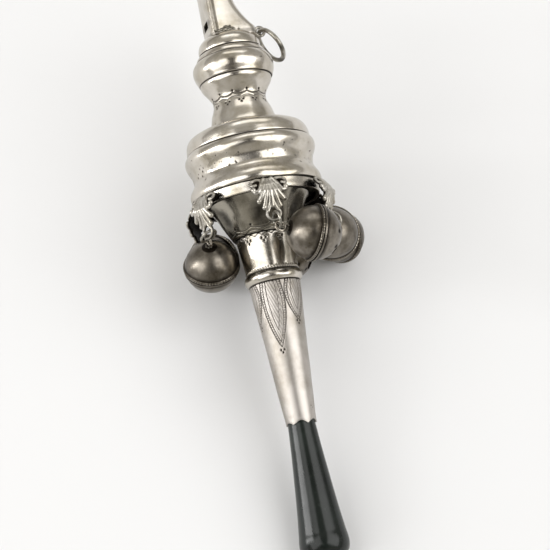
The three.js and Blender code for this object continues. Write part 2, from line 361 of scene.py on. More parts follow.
def mix_colour(nodes, links, factor, a, b):
    node = nodes.new("ShaderNodeMix")
    node.data_type = "RGBA"
    for socket, value in ((node.inputs[0], factor), (node.inputs[6], a), (node.inputs[7], b)):
        if isinstance(value, tuple):
            socket.default_value = (*value, 1)
        elif isinstance(value, (int, float)):
            socket.default_value = value
        else:
            links.new(value, socket)
    return node.outputs[2]


def silver_material(name, clean, bloom, tarnish_and_shade, rough, bloom_amount, speck=0.0, ripple=0.35):
    """Aged silver: clean metal, a faint bloom in patches, and black where the tone attribute is low, which is
    tarnished silver and, in the bells' hole dents, painted shade.
    """
    material, nodes, links, shader = node_material(name)
    place = nodes.new("ShaderNodeTexCoord").outputs["Object"]
    tone = nodes.new("ShaderNodeAttribute")
    tone.attribute_name = "tone"
    patches = noise_node(nodes, links, place, 210, 5, 0.6)
    fine = noise_node(nodes, links, place, 1500, 3, 0.6)
    bloom_mask = ramp(nodes, links, patches, [(0.42, 0.0), (0.72, 1.0)])
    bloom_mask = maths(nodes, links, "MULTIPLY", bloom_mask, bloom_amount)
    metal = mix_colour(nodes, links, bloom_mask, clean, bloom)
    ragged = maths(nodes, links, "ADD", tone.outputs["Fac"], maths(nodes, links, "MULTIPLY", fine, 0.3))
    bare_metal_mask = ramp(nodes, links, ragged, [(0.25, 0.0), (0.95, 1.0)])
    colour = mix_colour(nodes, links, bare_metal_mask, tarnish_and_shade, metal)
    if speck:
        voronoi = nodes.new("ShaderNodeTexVoronoi")
        voronoi.inputs["Scale"].default_value = 900
        links.new(place, voronoi.inputs["Vector"])
        where = ramp(nodes, links, noise_node(nodes, links, place, 120, 2, 0.5), [(0.56, 0.0), (0.66, 1.0)])
        pits = ramp(nodes, links, voronoi.outputs["Distance"], [(0.10, 1.0), (0.20, 0.0)])
        pits = maths(nodes, links, "MULTIPLY", maths(nodes, links, "MULTIPLY", pits, where), speck)
        colour = mix_colour(nodes, links, pits, colour, (0.09, 0.075, 0.05))
    links.new(colour, shader.inputs["Base Color"])
    shader.inputs["Metallic"].default_value = 1.0
    scratches = nodes.new("ShaderNodeMapping")
    scratches.inputs["Scale"].default_value = (1, 1, 7)
    links.new(place, scratches.inputs["Vector"])
    lines = noise_node(nodes, links, scratches.outputs["Vector"], 700, 3, 0.7)
    worn = maths(nodes, links, "MULTIPLY", lines, 0.16)
    dull_where_dark = maths(nodes, links, "MULTIPLY", maths(nodes, links, "SUBTRACT", 1.0, bare_metal_mask), 0.3)
    links.new(
        maths(nodes, links, "ADD", maths(nodes, links, "ADD", worn, dull_where_dark), rough),
        shader.inputs["Roughness"]
    )
    bump = nodes.new("ShaderNodeBump")
    bump.inputs["Strength"].default_value = ripple
    bump.inputs["Distance"].default_value = 0.00002
    heights = maths(nodes, links, "ADD", maths(nodes, links, "MULTIPLY", lines, 0.35), patches)
    links.new(heights, bump.inputs["Height"])
    links.new(bump.outputs["Normal"], shader.inputs["Normal"])
    return material


def stone_material():
    material, nodes, links, shader = node_material("green_stone")
    place = nodes.new("ShaderNodeTexCoord").outputs["Object"]
    cloud = noise_node(nodes, links, place, 160, 6, 0.62)
    colour = ramp(
        nodes, links, cloud,
        [(0.30, (0.005, 0.007, 0.006)), (0.55, (0.010, 0.0135, 0.0115)), (0.75, (0.018, 0.023, 0.020))]
    )
    veins = ramp(nodes, links, noise_node(nodes, links, place, 520, 3, 0.7), [(0.60, 0.0), (0.72, 0.5)])
    colour = mix_colour(nodes, links, veins, colour, (0.027, 0.033, 0.028))
    links.new(colour, shader.inputs["Base Color"])
    smudge = maths(nodes, links, "MULTIPLY", noise_node(nodes, links, place, 300, 4, 0.6), 0.12)
    links.new(maths(nodes, links, "ADD", smudge, 0.14), shader.inputs["Roughness"])
    shader.inputs["IOR"].default_value = 1.5
    shader.inputs["Specular IOR Level"].default_value = 0.29
    return material


def plain_material(name, dark, light, rough):
    material, nodes, links, shader = node_material(name)
    place = nodes.new("ShaderNodeTexCoord").outputs["Object"]
    grain = noise_node(nodes, links, place, 400, 5, 0.6)
    links.new(ramp(nodes, links, grain, [(0.3, dark), (0.7, light)]), shader.inputs["Base Color"])
    shader.inputs["Roughness"].default_value = rough
    return material


SILVER = silver_material(
    "aged_silver", (0.60, 0.562, 0.505), (0.37, 0.328, 0.25), (0.025, 0.02, 0.014), 0.14, 1.0, speck=1.0,
    ripple=0.12
)
WORN = silver_material(
    "worn_silver", (0.47, 0.44, 0.41), (0.30, 0.27, 0.23), (0.02, 0.016, 0.012), 0.33, 0.9, speck=0.8,
    ripple=0.2
)
CAST = silver_material(
    "cast_silver", (0.50, 0.475, 0.43), (0.31, 0.28, 0.22), (0.014, 0.011, 0.008), 0.2, 0.8
)
DARK = silver_material(
    "dark_silver", (0.34, 0.315, 0.265), (0.09, 0.078, 0.055), (0.012, 0.010, 0.008), 0.15, 1.0
)
BELL = silver_material(
    "bell_silver", (0.38, 0.345, 0.295), (0.08, 0.064, 0.042), (0.018, 0.014, 0.010), 0.11, 1.0, speck=0.9,
    ripple=0.25
)
WIRE = silver_material("ring_wire", (0.42, 0.40, 0.36), (0.24, 0.22, 0.17), (0.03, 0.025, 0.018), 0.2, 0.8)
STONE = stone_material()
CEMENT = plain_material("old_cement", (0.10, 0.085, 0.06), (0.2, 0.17, 0.12), 0.85)
IRON = plain_material("iron_pea", (0.05, 0.045, 0.04), (0.12, 0.09, 0.07), 0.6)


# ---- fused castings ----
def fused(name, parts, voxel):
    """One closed piece made from overlapping parts, softened where they meet. voxel is in millimetres."""
    piece = mesh_piece(name, *joined_parts(parts))
    remesh = piece.modifiers.new("fuse", "REMESH")
    remesh.mode = "VOXEL"
    remesh.voxel_size = voxel * MM
    smooth = piece.modifiers.new("soften", "SMOOTH")
    smooth.iterations = 2
    smooth.factor = 0.5
    bpy.context.view_layer.update()
    mesh = bpy.data.meshes.new_from_object(piece.evaluated_get(bpy.context.evaluated_depsgraph_get()))
    mesh.polygons.foreach_set("use_smooth", [True] * len(mesh.polygons))
    piece.modifiers.clear()
    piece.data = mesh
    return piece


# ---- engraving ----
def dent(distance, width):
    return np.exp(-((distance / width) ** 2))


def sector(theta, count, turn=0.0):
    """Position inside one of count equal sectors, from -0.5 to 0.5."""
    return ((theta - math.radians(turn)) * count / (2 * math.pi) + 0.5) % 1 - 0.5


def scalloped_band(level, radius, count=12, turn=0.0):
    """Two scalloped lines mirrored about a level, single punches above and three-dot groups below."""

    def relief(theta, z, _):
        arc = 2 * math.pi * radius / count
        t = sector(theta, count, turn)
        u = sector(theta, count, turn + 180 / count)
        upper = z - (level + 0.18 + 0.4 * (2 * np.abs(t)) ** 2)
        lower = z - (level - 0.18 - 0.4 * (2 * np.abs(u)) ** 2)
        cut = np.maximum(dent(upper, 0.1), dent(lower, 0.11))
        punch = dent(np.hypot(u * arc, z - level - 1.0), 0.23)
        for across, drop in ((-0.42, -1.15), (0.42, -1.15), (0, -1.65)):
            punch = np.maximum(punch, dent(np.hypot(t * arc - across, z - level - drop), 0.23))
        raised = dent(upper - 0.2, 0.2) * 0.02
        return raised - 0.08 * cut - 0.16 * punch, 0.75 * cut + 1.6 * punch

    return relief


def leaf_lines(across, along, length, half):
    """Engraved leaf from along = 0 to a point at length: double border, stipple and an inner blade."""
    v = np.clip(along / length, 0, 1)
    edge = leaf_edge(v, half)
    off = np.abs(across) - edge
    inside = (along > -0.2) & (along < length)
    cut = np.maximum(1.3 * dent(off, 0.1), 1.1 * dent(off + 0.62, 0.09))
    beads = 0.85 * dent(np.hypot(off + 0.31, (along % 0.5) - 0.25), 0.15)
    blade = dent(np.abs(across) - 0.42 * leaf_edge(np.clip(v * 1.35, 0, 1), half), 0.085) * (v < 0.74)
    hatch = (off < -0.8) * (0.5 + 0.5 * np.sin((across - 0.35 * along) * 11)) * 0.4
    return np.maximum.reduce([cut, beads, blade, hatch]) * inside


def leaf_edge(v, half):
    """Half width of a pointed leaf: full a third of the way down, closing to a point."""
    return half * np.sin(math.pi * (0.28 + 0.72 * v)) ** 0.8


def ferrule_relief(theta, z, _):
    turn = -106
    radius = 5.2
    along = -z - 19.9
    long_across = sector(theta, 3, turn) * 2 * math.pi * radius / 3
    short_across = sector(theta, 3, turn + 60) * 2 * math.pi * radius / 3
    long_leaf = leaf_lines(long_across, along, 13.6, 2.55)
    short_leaf = leaf_lines(short_across, along, 8.4, 2.7)
    covered = np.abs(long_across) < leaf_edge(np.clip(along / 13.6, 0, 1), 2.55) + 0.1
    short_leaf = short_leaf * ~covered
    punch = np.zeros_like(z)
    for reach, source in ((14.2, long_across), (8.6, short_across)):
        for across, more in ((-0.45, 0.0), (0.45, 0.0), (0, 0.55)):
            punch = np.maximum(punch, dent(np.hypot(source - across, along - reach - more), 0.22))
    cut = np.maximum(long_leaf, short_leaf)
    return -0.08 * cut - 0.15 * punch, 0.95 * cut + 1.6 * punch


def milled(level, count, width=0.22, height=0.12):
    def relief(theta, z, _):
        row = dent(z - level, width)
        tooth = 0.5 + 0.5 * np.cos(theta * count)
        return height * row * tooth, 0.7 * row * (1 - tooth)

    return relief


def both(*reliefs):
    def relief(theta, z, radius):
        heights, shades = zip(*(one(theta, z, radius) for one in reliefs))
        return sum(heights), sum(shades)

    return relief


# ---- whistle ----
def beak_slope(z):
    """Distance from the axis to the beak's sloping side; the foot below 36.2 is upright."""
    z = max(z, 36.2)
    return 0.9 + 0.1 * (52 - z) + 0.056 * max(43.8 - z, 0) ** 2


def beak(inset, bottom, top, rows=40):
    points = []
    heights = np.linspace(bottom, top, rows)
    per_corner = 9
    for z in heights:
        left, right, half = 4.3 - inset, -beak_slope(z) + inset, 4.4 - inset
        tip = min(max((top - z) / 0.5, 0), 1)
        shrink = 0.35 * (1 - math.sqrt(1 - (1 - tip) ** 2)) if inset == 0 else 0
        left, right, half = left - shrink, right + shrink, half - shrink
        bend = max(1.75 - inset, 0.3)
        corners = [
            (left - bend, half - bend, 0), (right + bend, half - bend, 90),
            (right + bend, bend - half, 180), (left - bend, bend - half, 270)
        ]
        for x, y, start in corners:
            for k in range(per_corner):
                a = math.radians(start + 90 * k / (per_corner - 1))
                points.append((x + bend * math.cos(a), y + bend * math.sin(a), z))
    columns = 4 * per_corner
    faces = grid_faces(rows, columns)
    faces.append(tuple(range(columns))[::-1])
    faces.append(tuple((rows - 1) * columns + i for i in range(columns)))
    return points, faces


def cutter(x0, x1, y0, y1, z0, z1):
    points = [(x, y, z) for x in (x0, x1) for y in (y0, y1) for z in (z0, z1)]
    faces = [(0, 1, 3, 2), (4, 6, 7, 5), (0, 4, 5, 1), (2, 3, 7, 6), (0, 2, 6, 4), (1, 5, 7, 3)]
    return mesh_piece("cutter", points, faces)


def carve(piece, *cutters):
    for tool in cutters:
        modifier = piece.modifiers.new("cut", "BOOLEAN")
        modifier.operation = "DIFFERENCE"
        modifier.solver = "EXACT"
        modifier.object = tool
    bpy.context.view_layer.update()
    solid = bpy.data.meshes.new_from_object(piece.evaluated_get(bpy.context.evaluated_depsgraph_get()))
    piece.modifiers.clear()
    piece.data = solid
    for tool in cutters:
        bpy.data.objects.remove(tool)
    solid.polygons.foreach_set("use_smooth", [True] * len(solid.polygons))
    solid.set_sharp_from_angle(angle=math.radians(SHARP_EDGE))


def add_tone(piece, formula):
    """formula takes an array of points in millimetres and returns each one's tone."""
    mesh = piece.data
    co = np.zeros(len(mesh.vertices) * 3, np.float32)
    mesh.vertices.foreach_get("co", co)
    layer = mesh.attributes.get("tone") or mesh.attributes.new("tone", "FLOAT", "POINT")
    layer.data.foreach_set("value", np.clip(formula(co.reshape(-1, 3) / MM), 0, 1).astype(np.float32))


def whistle():
    turn = PLACE @ Matrix.Rotation(math.radians(WINDOW_TURN), 4, "Z")
    shell = mesh_piece("whistle_mouthpiece_skin", *beak(0, 34.5, 52))
    hollow = mesh_piece("cutter", *beak(0.7, 34, 53, rows=30))
    carve(shell, hollow, cutter(2.9, 5.3, -1.3, 2.0, 37.3, 38.9))

    # Darker at the foot of the mouthpiece, where it meets the cap, and in a band round its window.
    def foot_and_window_darkening(p):
        base = np.exp(-(((p[:, 2] - 35.2) / 0.7) ** 2))
        window = np.exp(-(((p[:, 2] - 38.1) / 1.1) ** 2)) * (p[:, 0] > 3.6)
        return 1 - 0.6 * base - 0.6 * window

    add_tone(shell, foot_and_window_darkening)
    settle(shell, SILVER, place=turn, stands_for=["whistle_mouthpiece"])
    plug = mesh_piece("whistle_plug", *beak(1.0, 39.6, 51.2, rows=24))
    carve(plug, cutter(2.6, 5.3, -6, 6, 30, 60))
    add_tone(plug, lambda p: np.full(len(p), 0.4))
    settle(plug, DARK, place=turn, stands_for=["whistle_block"])
    solder(turn)


def solder(turn):
    """A rough old solder repair at the foot of the mouthpiece's wide face."""
    rng = np.random.default_rng(4)
    parts = []
    for _k in range(150):
        across = rng.normal(0.9, 0.95)
        level = 35.6 + 0.45 * abs(rng.normal(0, 1)) * math.exp(-((across - 0.9) ** 2) / 2)
        parts.append(ball((across, 4.22, level), rng.uniform(0.2, 0.36), 6, 10))
    lump = fused("solder_repair", parts, SOLDER_VOXEL)
    add_tone(lump, lambda p: 0.5 + 0.3 * np.sin(p[:, 0] * 6) * np.sin(p[:, 2] * 9))
    settle(lump, DARK, place=turn)


def cap_and_knop():
    cap = profile(
        [
            (7.72, 25.3), (7.95, 25.5), (8.1, 25.9), (8.5, 26.9), (8.67, 28.0), (8.5, 29.1), (8.0, 30.0),
            (7.66, 30.28)
        ],
        [(7.66, 30.28), (7.58, 30.36)],
        [(7.58, 30.36), (7.5, 30.7), (7.2, 31.3), (6.8, 31.75)],
        [(6.8, 31.75), (6.62, 31.85), (6.72, 31.98)],
        [
            (6.72, 31.98), (6.76, 32.4), (6.7, 33.1), (6.45, 33.9), (5.9, 34.6), (5.2, 35.15), (4.2, 35.5),
            (3.2, 35.6)
        ],
        step=0.14,
    )
    grooves = both(ring_groove(30.32, 0.1, 0.05), ring_groove(31.83, 0.13, 0.06))
    piece = turned("whistle_cap_skin", cap, relief=grooves, dents=0.17, seed=3)
    settle(piece, SILVER, stands_for=["whistle_cap"])

    bulb = profile(
        [(5.7, 20.9), (5.75, 21.3), (6.03, 22.0), (6.6, 23.0), (7.3, 24.0), (7.6, 24.6), (7.66, 25.24)],
        step=0.09
    )
    piece = turned(
        "upper_bulb_skin", bulb, columns=420, relief=scalloped_band(20.8, 5.7), dents=0.13, seed=9,
        ends=(False, True)
    )
    settle(piece, SILVER, stands_for=["upper_bulb"])

    flare = profile(
        [(7.35, 14.65), (7.25, 15.2), (7.0, 16.0), (6.5, 18.0), (6.0, 19.3), (5.75, 20.1), (5.7, 20.85)],
        step=0.09
    )
    piece = turned(
        "flared_neck_skin", flare, columns=420, relief=scalloped_band(20.8, 5.7), dents=0.05, seed=12,
        ends=(True, False)
    )
    settle(piece, SILVER, stands_for=["flared_neck"])


def ring_groove(level, width, depth):
    def relief(theta, z, _):
        line = dent(z - level, width)
        return -depth * line, 0.8 * line

    return relief


# ---- drum ----
def pitted(theta, z, _):
    """Small knocks and pits in the hollow band of the drum."""
    rng = np.random.default_rng(11)
    knock = np.zeros_like(z)
    for patch in range(9):
        heart = math.radians(-100 + 40 * patch + rng.uniform(-9, 9))
        for _k in range(13):
            a, level = heart + rng.normal(0, 0.18), rng.normal(5.0, 1.3)
            away = (theta - a + math.pi) % math.tau - math.pi
            size = rng.uniform(0.12, 0.24)
            knock = np.maximum(knock, rng.uniform(0.4, 1) * dent(np.hypot(away * 13, z - level), size))
    return -0.015 * knock, 1.3 * knock


def drum():
    shoulder = profile(
        [
            (13.1, 10.16), (13.2, 10.35), (13.17, 11.0), (13.05, 12.0), (12.6, 13.0), (11.9, 13.62),
            (10.95, 14.0), (9.2, 14.3), (7.45, 14.45)
        ],
        step=0.16,
    )
    piece = turned("drum_shoulder_skin", shoulder, columns=220, dents=0.16, seed=21)
    settle(piece, SILVER, stands_for=["drum_shoulder"])

    body = profile(
        [
            (13.55, 0.02), (13.9, 0.12), (14.05, 0.7), (14.03, 1.4), (13.75, 2.2), (13.26, 3.0),
            (12.82, 3.8), (12.68, 4.4)
        ],
        [
            (12.68, 4.4), (12.74, 5.0), (12.96, 6.0), (13.5, 7.0), (13.85, 7.8), (13.96, 8.5), (13.85, 9.2),
            (13.5, 9.85), (13.1, 10.12)
        ],
        step=0.16,
    )
    piece = turned("drum_body_skin", body, columns=640, dents=0.22, seed=30, wall=0.7, relief=pitted)
    settle(piece, SILVER, stands_for=["drum_body"])

    rim = profile(
        [(12.3, -2.1), (12.9, -2.12)],
        [(12.9, -2.12), (13.05, -2.0), (13.12, -1.5), (13.14, -0.7), (13.2, -0.06)],
        [(13.2, -0.06), (12.3, -0.06)],
        step=0.1,
    )
    piece = turned("drum_bezel_skin", rim, columns=200, dents=0.1, seed=37, wall=0.2, bright=0.72)
    settle(piece, SILVER, stands_for=["drum_bezel"])

    disc = profile(
        [(11.9, -0.5), (11.9, -1.2)], [(11.9, -1.2), (11.0, -1.25), (9.0, -1.2), (7.0, -1.3)], step=0.3
    )
    piece = turned("drum_floor_skin", disc, columns=120, dents=0.08, seed=40, wall=0.1)
    add_tone(piece, lambda p: 0.25 + 0.15 * np.sin(p[:, 0]) * np.sin(p[:, 1]))
    settle(piece, DARK, stands_for=["drum_floor"])


# ---- stem and handle ----
def flutes(theta, z, _):
    """Broad soft waves hammered into the cone."""
    fade = np.clip((z + 9.0) / 3, 0, 1) * np.clip((-1.6 - z) / 3, 0, 1)
    valley = (0.5 - 0.5 * np.cos(theta * 6 + 0.6)) ** 2
    return -0.5 * fade * valley, 0.75 * fade * valley


def punch_rows(theta, z, _):
    """Three-dot groups under the cone's edge and a wavy groove just below the edge."""
    across = sector(theta, 11, 0) * math.tau * 6.2 / 11
    punch = np.zeros_like(z)
    for side, level in ((-0.45, -10.6), (0.45, -10.6), (0, -11.2)):
        punch = np.maximum(punch, dent(np.hypot(across - side, z - level), 0.24))
    edge = dent(z + 9.75 + 0.22 * np.cos(theta * 22), 0.1)
    return -0.16 * punch - 0.06 * edge, 1.6 * punch + 0.8 * edge


def stem():
    cone = profile(
        [
            (6.45, -9.36), (6.85, -9.1), (7.2, -8.4), (7.7, -7.4), (8.6, -5.6), (9.6, -3.6), (10.8, -1.7)
        ], step=0.09
    )
    piece = turned(
        "neck_cone_skin", cone, columns=420, relief=both(scalloped_band(-8.6, 7.0, 11), flutes), dents=0.06,
        seed=45, ends=(True, False)
    )
    settle(piece, DARK, stands_for=["neck_cone"])

    sleeve = profile(
        [(5.48, -17.2), (5.55, -16.4), (5.8, -14.2), (6.1, -11.2), (6.25, -9.9), (6.3, -9.4)], step=0.09
    )
    piece = turned(
        "stem_collar_skin", sleeve, columns=420, relief=both(
            punch_rows, milled(-16.85, 60, 0.26, 0.14)
        ), dents=0.06, seed=50
    )
    settle(piece, SILVER, stands_for=["stem_collar"])

    bead = profile(
        [
            (5.0, -19.62), (5.6, -19.48), (6.0, -19.0), (6.12, -18.4), (6.0, -17.8), (5.6, -17.36),
            (5.0, -17.24)
        ],
        step=0.1
    )
    piece = turned("stem_bead_skin", bead, columns=140, dents=0.1, seed=55)
    settle(piece, SILVER, stands_for=["stem_bead"])

    tube = profile(
        [(3.12, -49.5), (3.24, -48), (3.56, -44), (3.87, -40), (4.14, -36.2)], step=0.4
    )
    engraved = profile([(4.14, -36.2), (4.5, -31), (4.9, -26), (5.3, -21.6), (5.45, -19.66)], step=0.085)
    piece = turned(
        "handle_ferrule_skin",
        np.vstack([tube, engraved[1:]]),
        columns=440,
        relief=both(ferrule_relief, ferrule_edge),
        dents=0.05,
        seed=61,
        ends=(False, True),
    )
    ragged_edge(piece)
    settle(piece, WORN, stands_for=["handle_ferrule"])

    fill = solid_turned(
        "old_cement",
        profile(
            [(0.1, -48.6), (2.9, -48.6)], [(2.9, -48.6), (3.0, -40.5)], [(3.0, -40.5), (0.1, -40.5)],
            step=0.6
        ),
        48
    )
    settle(fill, CEMENT, stands_for=["handle_cement"])

    grip = profile(
        [
            (0.01, -78.5), (1.4, -78.38), (2.8, -77.9), (4.0, -77.0), (4.85, -75.8), (5.15, -74.5),
            (5.1, -73.2), (4.9, -72)
        ],
        [
            (4.9, -72), (4.43, -68), (4.03, -64), (3.68, -60), (3.33, -56), (3.03, -52), (2.86, -49.4),
            (2.8, -48.7), (0.01, -48.65)
        ],
        step=0.3,
    )
    piece = solid_turned("stone_handle_polished", grip)
    settle(piece, STONE, stands_for=["stone_handle"])


def ferrule_edge(theta, z, _):
    """A thin worn lip where the ferrule ends."""
    lip = dent(z + 49.2, 0.3)
    return 0.05 * lip, 0.25 * lip


def ragged_edge(piece):
    mesh = piece.data
    co = np.zeros(len(mesh.vertices) * 3, np.float32)
    mesh.vertices.foreach_get("co", co)
    p = co.reshape(-1, 3)
    z = p[:, 2] / MM
    theta = np.arctan2(p[:, 1], p[:, 0])
    weight = np.clip((-z - 47.5) / 2.0, 0, 1)
    scallop = 0.55 * np.abs(np.sin(theta * 3 + 0.4)) + 0.1 * np.sin(theta * 7)
    p[:, 2] += (weight * scallop * MM).astype(np.float32)
    mesh.vertices.foreach_set("co", p.ravel())
    mesh.update()


# ---- brackets ----
LEAF_STATIONS = np.array(
    [
        (0.2, 14.1), (1.2, 14.7), (2.2, 15.4), (3.4, 15.75), (4.4, 15.55), (5.3, 15.25), (6.2, 14.95),
        (7, 14.75), (9.6, 14.75)
    ]
)


def leaf_reach(drop):
    return float(np.interp(drop, LEAF_STATIONS[:, 0], LEAF_STATIONS[:, 1]))


def on_leaf(across, drop, lift=0.0):
    """A point on the leaf: across it, down from the lip, raised off its sheet."""
    return Vector((leaf_reach(drop) + lift - 0.035 * across**2, across, -drop))


def frond(way, start, end, ball_size=0.0, mirror=1, lift=0.1):
    run = smooth_run(way, 0.22)
    count = len(run)
    path = [on_leaf(mirror * x * 1.05, max(v, 0.15) + 0.45, lift) for x, v in run]
    radii = [1.24 * (start + (end - start) * i / (count - 1)) for i in range(count)]
    parts = [swept(path, radii, sides=12, up=Vector((1, 0, 0)), squash=0.9)]
    if ball_size:
        tip = path[-1]
        parts.append(ball((tip.x + 0.06, tip.y, tip.z), ball_size, 10, 16))
    return parts


def leaf_parts():
    parts = []
    for side in (-1, 1):
        parts += frond(
            [(0.8, 0.2), (1.4, 1.2), (1.85, 2.3), (2.35, 2.95), (2.9, 2.95), (3.15, 2.4)], 0.38, 0.42, 0.58,
            side
        )
        parts += frond(
            [(1.2, 0.5), (1.9, 0.2), (2.8, 0.3), (3.4, 0.8), (3.2, 1.5), (2.6, 1.45)], 0.3, 0.34, 0.42,
            side, 0.05
        )
        parts += frond(
            [(0.55, 0.3), (1.0, 2.0), (1.5, 3.3), (2.0, 4.2), (2.4, 4.75)], 0.34, 0.5, 0.55, side
        )
        parts += frond(
            [(0.34, 0.6), (0.62, 2.6), (1.0, 4.2), (1.35, 5.5), (1.6, 6.15)], 0.27, 0.42, 0.46, side
        )
        parts += frond(
            [(0.13, 0.3), (0.16, 2.5), (0.22, 4.6), (0.6, 6.1), (1.05, 7.0)], 0.22, 0.32, 0.0, side, 0.18
        )
    parts += frond([(0, 0.5), (0, 2.5), (0, 4.5), (0, 6.0)], 0.22, 0.34, 0.0, 1, 0.2)
    eyelet = []
    around, sides = 32, 12
    for i in range(around):
        a = 2 * math.pi * i / around
        for k in range(sides):
            b = 2 * math.pi * k / sides
            out = 1.4 + 0.34 * math.cos(b)
            eyelet.append((
                HOLE_REACH + 0.34 * math.sin(b), out * math.sin(a), -HOLE_DROP + out * math.cos(a)
            ))
    parts.append((eyelet, grid_faces(around, sides, loop_rows=True)))
    parts.append(leaf_sheet())
    return parts


def leaf_sheet():
    """The thin back of the casting, which fills the gaps between the fronds."""
    widths = [
        (0.2, 2.0), (1.2, 3.0), (2.4, 2.9), (3.2, 2.5), (4.4, 2.4), (5.2, 1.9), (6.2, 1.5), (6.7, 0.9)
    ]
    points = []
    for drop, half in widths:
        reach = leaf_reach(drop)
        for x, y in ((-0.3, -half), (0.02, -half), (0.12, 0), (0.02, half), (-0.3, half)):
            points.append((reach + x - 0.035 * y * y, y, -drop))
    faces = grid_faces(len(widths), 5)
    faces.append((0, 1, 2, 3, 4))
    faces.append(tuple(5 * (len(widths) - 1) + k for k in (4, 3, 2, 1, 0)))
    return points, faces


def flat_back(piece):
    """Leaves nothing of the casting more than LEAF_BACK behind its sheet."""
    mesh = piece.data
    co = np.zeros(len(mesh.vertices) * 3, np.float32)
    mesh.vertices.foreach_get("co", co)
    p = co.reshape(-1, 3) / MM
    sheet = np.interp(-p[:, 2], LEAF_STATIONS[:, 0], LEAF_STATIONS[:, 1]) - 0.035 * p[:, 1] ** 2
    p[:, 0] = np.maximum(p[:, 0], sheet - LEAF_BACK)
    mesh.vertices.foreach_set("co", (p * MM).astype(np.float32).ravel())
    mesh.update()


def leaf_tone(p):
    reach = np.interp(-p[:, 2], LEAF_STATIONS[:, 0], LEAF_STATIONS[:, 1])
    lift = p[:, 0] + 0.035 * p[:, 1] ** 2 - reach
    return 0.02 + 1.75 * np.clip(lift - 0.04, 0, 0.6)


# ---- jump rings and bells ----
def hang_direction(angles):
    out, side = (math.radians(a) for a in angles)
    return Vector((math.sin(out), math.cos(out) * math.sin(side), -math.cos(out) * math.cos(side)))


def aimed(position, hang, across):
    z = -hang
    x = (across - z * across.dot(z)).normalized()
    y = z.cross(x)
    turn = Matrix((x, y, z)).transposed().to_4x4()
    return Matrix.Translation(position * MM) @ turn, x


def bell_half(name, outside, relief, seed, columns=128):
    """One half of a bell, drawn a hair small so that its dents stay inside the bell's space."""
    return turned(
        name, outside * BELL_EASE, columns=columns, wall=0.35, relief=relief, dents=0.14, seed=seed,
        ends=(False, False), bright=0.5,
    )


def dome_mesh(seed):
    arc_points = [(
        BELL_RADIUS * math.cos(math.radians(a)), BELL_RADIUS * math.sin(math.radians(a))
    ) for a in range(7, 84, 7)]
    outside = profile(
        [(5.2, 0.12), (FLANGE_RADIUS, 0.12)],
        [(FLANGE_RADIUS, 0.12), (FLANGE_RADIUS + 0.02, 0.3), (FLANGE_RADIUS, 0.45)],
        [(FLANGE_RADIUS, 0.45), (5.8, 0.52), (5.66, 0.7)],
        [(5.66, 0.7), *arc_points[1:-1]],
        [arc_points[-2], (0.75, 5.72), (0.1, 5.75)],
        step=0.2,
    )
    return bell_half("dome", outside, bell_edge(0.3, 1.0), seed)


def loop_piece(name):
    """The wire loop that a bell hangs by, in its ring of solder grains."""
    loop, faces = ring_mesh(LOOP_RADIUS, LOOP_WIRE, 40, 12, (0, 0, BELL_DROP), 0.1)
    turned_loop = [(y, x, z) for x, y, z in loop]
    grains = [ball(
        (0.62 * math.cos(a), 0.62 * math.sin(a), 5.88), 0.24, 6, 10
    ) for a in np.arange(7) * math.tau / 7]
    piece = fused(name, [(turned_loop, faces), *grains], SOLDER_VOXEL)
    add_tone(piece, lambda p: 0.3 + 0.6 * np.clip(p[:, 2] - 6.0, 0, 1))
    return piece


def bell_edge(level, beads):
    def relief(theta, z, radius):
        row = beads * dent(z - level, 0.2) * (radius > BELL_RADIUS + 0.02)
        tooth = 0.5 + 0.5 * np.cos(theta * 58)
        seam = dent(z - (level + (0.42 if level > 0 else -0.42)), 0.16)
        return 0.1 * row * tooth, 0.7 * row * (1 - tooth) - 0.9 * row * tooth + 0.5 * seam

    return relief


def bowl_mesh(seed):
    arc_points = [(
        BELL_RADIUS * math.cos(math.radians(a)), BELL_RADIUS * math.sin(math.radians(a))
    ) for a in range(-84, -6, 7)]
    outside = profile(
        [(0.3, -BELL_RADIUS), *arc_points[:-1], (5.66, -0.75)],
        [(5.66, -0.75), (5.8, -0.58), (FLANGE_RADIUS, -0.5)],
        [(FLANGE_RADIUS, -0.5), (FLANGE_RADIUS + 0.02, -0.32), (FLANGE_RADIUS, -0.16)],
        [(FLANGE_RADIUS, -0.16), (5.2, -0.16)],
        step=0.2,
    )
    piece = bell_half("bowl", outside, both(bell_edge(-0.33, 0.0), painted_hole_dents), seed, columns=160)
    slot = cutter(-SLOT_HALF_WIDTH, SLOT_HALF_WIDTH, -SLOT_REACH, SLOT_REACH, -7, -3)
    ends = []
    for y in (-SLOT_REACH, SLOT_REACH):
        points, faces = ball((0, y, -4.6), SLOT_END_RADIUS, 10, 16)
        ends.append(mesh_piece("cutter", points, faces))
    carve(piece, slot, *ends)
    return piece


def painted_hole_dents(theta, z, radius):
    """Eight small shallow dents round the lower half, each painted black: painted shade where a pierced hole
    would show the bell's dark inside.
    """
    t = sector(theta, 8, 22.5) * 2 * math.pi * 4.3 / 8
    hole = dent(np.hypot(t, (z + 3.75) * 1.25), 0.34)
    return -0.22 * hole, 1.2 * hole


